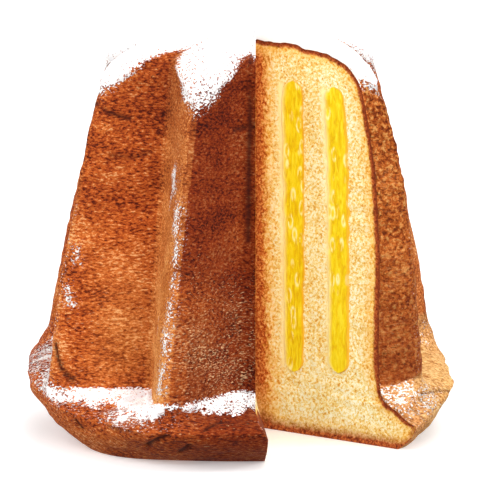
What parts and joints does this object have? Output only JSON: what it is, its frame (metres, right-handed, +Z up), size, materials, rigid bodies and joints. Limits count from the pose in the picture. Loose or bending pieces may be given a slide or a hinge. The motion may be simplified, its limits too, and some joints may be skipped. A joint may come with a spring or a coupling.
{
  "type": "pandoro",
  "caption": "Tall star-shaped sweet bread with a wedge cut out, upright cream layers showing in the cut and powdered sugar on top.",
  "frame": {"origin": "middle of the bread's footprint, on the plane it stands on", "axes": "+Z up along the star's axis, -Y towards the viewer of the cut, +X to the right of the cut"},
  "size_m": [0.2306, 0.2354, 0.2223],
  "materials": {
    "bread": "baked brown crust outside with fine pores, pale yellow open crumb on the cut faces",
    "cream": "soft yellow custard cream, slightly glossy, with paler streaks",
    "sugar": "matt white powdered sugar"
  },
  "bodies": {
    "root": {"bread": "bread", "cream_inner": "cream", "cream_outer": "cream", "sugar_cap": "sugar", "sugar_drift_1": "sugar", "sugar_drift_2": "sugar", "sugar_drift_3": "sugar", "sugar_drift_4": "sugar", "sugar_drift_5": "sugar", "sugar_drift_6": "sugar", "sugar_drift_7": "sugar", "sugar_drift_8": "sugar"}
  },
  "joints": []
}
